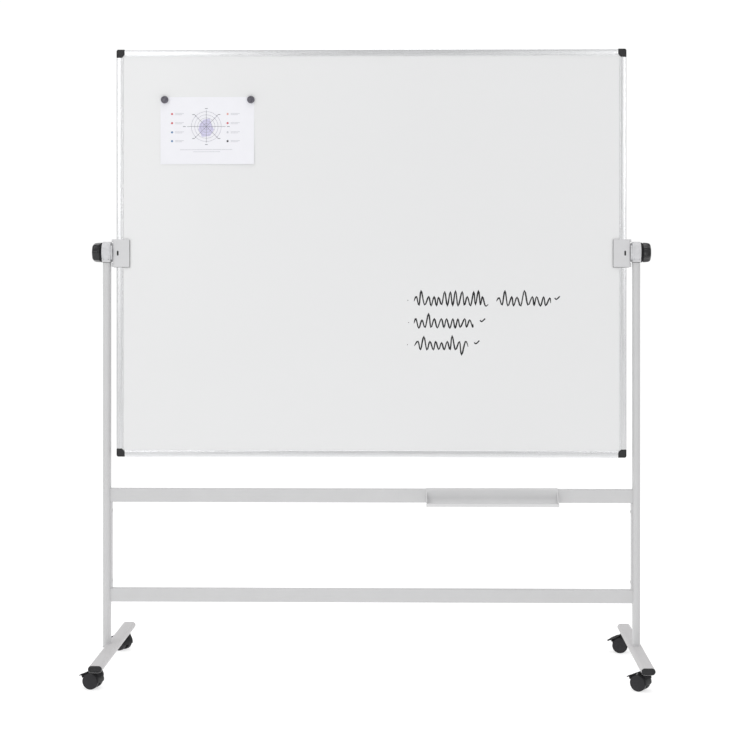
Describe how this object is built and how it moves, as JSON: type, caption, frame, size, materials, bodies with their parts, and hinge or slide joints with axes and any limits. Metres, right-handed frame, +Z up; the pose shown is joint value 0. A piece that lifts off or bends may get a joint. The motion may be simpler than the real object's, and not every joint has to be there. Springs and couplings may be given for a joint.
{
  "type": "rolling whiteboard",
  "caption": "Double-sided whiteboard that turns over between two posts of a wheeled steel stand, with clamp knobs, crossbars, a sliding pen tray and braked swivel casters.",
  "frame": {"origin": "on the floor, under the middle of the board", "axes": "+X to the right as the picture shows it, +Y to the back, +Z up"},
  "size_m": [1.6442, 0.6, 1.827],
  "materials": {
    "stand_paint": "silver-grey powder coat, satin",
    "leg_paint": "warm light-grey powder coat, satin",
    "board_lacquer": "glossy white dry-erase lacquer on steel",
    "frame_aluminium": "satin anodised extrusion",
    "honeycomb_core": "paper honeycomb, hidden between the faces",
    "black_plastic": "moulded, fine texture",
    "wheel_plastic": "moulded nylon, satin",
    "grey_plastic": "moulded, satin light grey",
    "friction_rubber": "matt black pad",
    "bolt_steel": "zinc-plated",
    "magnet_plastic": "gloss dark purple-grey cap"
  },
  "bodies": {
    "stand": {"upper_crossbar": "stand_paint", "lower_crossbar": "stand_paint", "left_post": "stand_paint", "left_end_plate": "stand_paint", "upper_left_plate_bolt": "bolt_steel", "lower_left_plate_bolt": "bolt_steel", "left_pivot_housing": "grey_plastic", "left_friction_pad": "friction_rubber", "left_leg": "leg_paint", "front_left_leg_cap": "black_plastic", "rear_left_leg_cap": "black_plastic", "front_left_caster_stem": "bolt_steel", "rear_left_caster_stem": "bolt_steel", "right_post": "stand_paint", "right_end_plate": "stand_paint", "upper_right_plate_bolt": "bolt_steel", "lower_right_plate_bolt": "bolt_steel", "right_pivot_housing": "grey_plastic", "right_friction_pad": "friction_rubber", "right_leg": "leg_paint", "front_right_leg_cap": "black_plastic", "rear_right_leg_cap": "black_plastic", "front_right_caster_stem": "bolt_steel", "rear_right_caster_stem": "bolt_steel"},
    "board": {"board_core": "honeycomb_core", "front_panel": "board_lacquer", "rear_panel": "board_lacquer", "frame_top": "frame_aluminium", "frame_bottom": "frame_aluminium", "frame_left": "frame_aluminium", "frame_right": "frame_aluminium", "top_left_corner_cap": "black_plastic", "top_right_corner_cap": "black_plastic", "bottom_left_corner_cap": "black_plastic", "bottom_right_corner_cap": "black_plastic", "left_pivot_bracket": "stand_paint", "left_pivot_bolt": "bolt_steel", "right_pivot_bracket": "stand_paint", "right_pivot_bolt": "bolt_steel"},
    "left_knob": {"left_knob": "black_plastic"},
    "right_knob": {"right_knob": "black_plastic"},
    "left_magnet": {"left_magnet": "magnet_plastic"},
    "right_magnet": {"right_magnet": "magnet_plastic"},
    "pen_tray": {"pen_tray": "leg_paint"},
    "front_left_caster": {"front_left_caster_hood": "black_plastic"},
    "front_left_caster_wheel_1": {"front_left_caster_wheel_1": "wheel_plastic"},
    "front_left_caster_wheel_2": {"front_left_caster_wheel_2": "wheel_plastic"},
    "front_left_caster_brake_pedal": {"front_left_caster_brake_pedal": "black_plastic"},
    "front_right_caster": {"front_right_caster_hood": "black_plastic"},
    "front_right_caster_wheel_1": {"front_right_caster_wheel_1": "wheel_plastic"},
    "front_right_caster_wheel_2": {"front_right_caster_wheel_2": "wheel_plastic"},
    "front_right_caster_brake_pedal": {"front_right_caster_brake_pedal": "black_plastic"},
    "rear_left_caster": {"rear_left_caster_hood": "black_plastic"},
    "rear_left_caster_wheel_1": {"rear_left_caster_wheel_1": "wheel_plastic"},
    "rear_left_caster_wheel_2": {"rear_left_caster_wheel_2": "wheel_plastic"},
    "rear_left_caster_brake_pedal": {"rear_left_caster_brake_pedal": "black_plastic"},
    "rear_right_caster": {"rear_right_caster_hood": "black_plastic"},
    "rear_right_caster_wheel_1": {"rear_right_caster_wheel_1": "wheel_plastic"},
    "rear_right_caster_wheel_2": {"rear_right_caster_wheel_2": "wheel_plastic"},
    "rear_right_caster_brake_pedal": {"rear_right_caster_brake_pedal": "black_plastic"}
  },
  "joints": [
    {"name": "board_tilt", "type": "hinge", "parent": "stand", "child": "board", "pos_m": [0, 0, 1.229], "axis": [1, 0, 0], "continuous": true},
    {"name": "left_knob_turn", "type": "hinge", "parent": "board", "child": "left_knob", "pos_m": [-0.8, 0, 1.229], "axis": [-1, 0, 0], "range_deg": [0, 540]},
    {"name": "right_knob_turn", "type": "hinge", "parent": "board", "child": "right_knob", "pos_m": [0.8, 0, 1.229], "axis": [1, 0, 0], "range_deg": [0, 540]},
    {"name": "left_magnet_pull", "type": "slide", "parent": "board", "child": "left_magnet", "axis": [0, -1, 0], "range_m": [0, 0.04]},
    {"name": "right_magnet_pull", "type": "slide", "parent": "board", "child": "right_magnet", "axis": [0, -1, 0], "range_m": [0, 0.04]},
    {"name": "pen_tray_slide", "type": "slide", "parent": "stand", "child": "pen_tray", "axis": [1, 0, 0], "range_m": [-0.931, 0.219]},
    {"name": "front_left_caster_swivel", "type": "hinge", "parent": "stand", "child": "front_left_caster", "pos_m": [-0.762, -0.242, 0.05], "axis": [0, 0, 1], "continuous": true},
    {"name": "front_left_caster_wheel_1_spin", "type": "hinge", "parent": "front_left_caster", "child": "front_left_caster_wheel_1", "pos_m": [-0.7789, -0.23747, 0.0235], "axis": [0.2588, 0.9659, 0], "continuous": true},
    {"name": "front_left_caster_wheel_2_spin", "type": "hinge", "parent": "front_left_caster", "child": "front_left_caster_wheel_2", "pos_m": [-0.7789, -0.23747, 0.0235], "axis": [0.2588, 0.9659, 0], "continuous": true},
    {"name": "front_left_caster_brake_press", "type": "hinge", "parent": "front_left_caster", "child": "front_left_caster_brake_pedal", "pos_m": [-0.77672, -0.23805, 0.05285], "axis": [-0.2588, -0.9659, 0], "range_deg": [0, 3]},
    {"name": "front_right_caster_swivel", "type": "hinge", "parent": "stand", "child": "front_right_caster", "pos_m": [0.7775, -0.242, 0.05], "axis": [0, 0, 1], "continuous": true},
    {"name": "front_right_caster_wheel_1_spin", "type": "hinge", "parent": "front_right_caster", "child": "front_right_caster_wheel_1", "pos_m": [0.7625, -0.23299, 0.0235], "axis": [0.515, 0.8572, 0], "continuous": true},
    {"name": "front_right_caster_wheel_2_spin", "type": "hinge", "parent": "front_right_caster", "child": "front_right_caster_wheel_2", "pos_m": [0.7625, -0.23299, 0.0235], "axis": [0.515, 0.8572, 0], "continuous": true},
    {"name": "front_right_caster_brake_press", "type": "hinge", "parent": "front_right_caster", "child": "front_right_caster_brake_pedal", "pos_m": [0.76443, -0.23415, 0.05285], "axis": [-0.515, -0.8572, 0], "range_deg": [0, 3]},
    {"name": "rear_left_caster_swivel", "type": "hinge", "parent": "stand", "child": "rear_left_caster", "pos_m": [-0.762, 0.242, 0.05], "axis": [0, 0, 1], "continuous": true},
    {"name": "rear_left_caster_wheel_1_spin", "type": "hinge", "parent": "rear_left_caster", "child": "rear_left_caster_wheel_1", "pos_m": [-0.777, 0.25101, 0.0235], "axis": [0.515, 0.8572, 0], "continuous": true},
    {"name": "rear_left_caster_wheel_2_spin", "type": "hinge", "parent": "rear_left_caster", "child": "rear_left_caster_wheel_2", "pos_m": [-0.777, 0.25101, 0.0235], "axis": [0.515, 0.8572, 0], "continuous": true},
    {"name": "rear_left_caster_brake_press", "type": "hinge", "parent": "rear_left_caster", "child": "rear_left_caster_brake_pedal", "pos_m": [-0.77507, 0.24985, 0.05285], "axis": [-0.515, -0.8572, 0], "range_deg": [0, 3]},
    {"name": "rear_right_caster_swivel", "type": "hinge", "parent": "stand", "child": "rear_right_caster", "pos_m": [0.7775, 0.242, 0.05], "axis": [0, 0, 1], "continuous": true},
    {"name": "rear_right_caster_wheel_1_spin", "type": "hinge", "parent": "rear_right_caster", "child": "rear_right_caster_wheel_1", "pos_m": [0.76017, 0.24444, 0.0235], "axis": [0.1392, 0.9903, 0], "continuous": true},
    {"name": "rear_right_caster_wheel_2_spin", "type": "hinge", "parent": "rear_right_caster", "child": "rear_right_caster_wheel_2", "pos_m": [0.76017, 0.24444, 0.0235], "axis": [0.1392, 0.9903, 0], "continuous": true},
    {"name": "rear_right_caster_brake_press", "type": "hinge", "parent": "rear_right_caster", "child": "rear_right_caster_brake_pedal", "pos_m": [0.7624, 0.24412, 0.05285], "axis": [-0.1392, -0.9903, 0], "range_deg": [0, 3]}
  ]
}
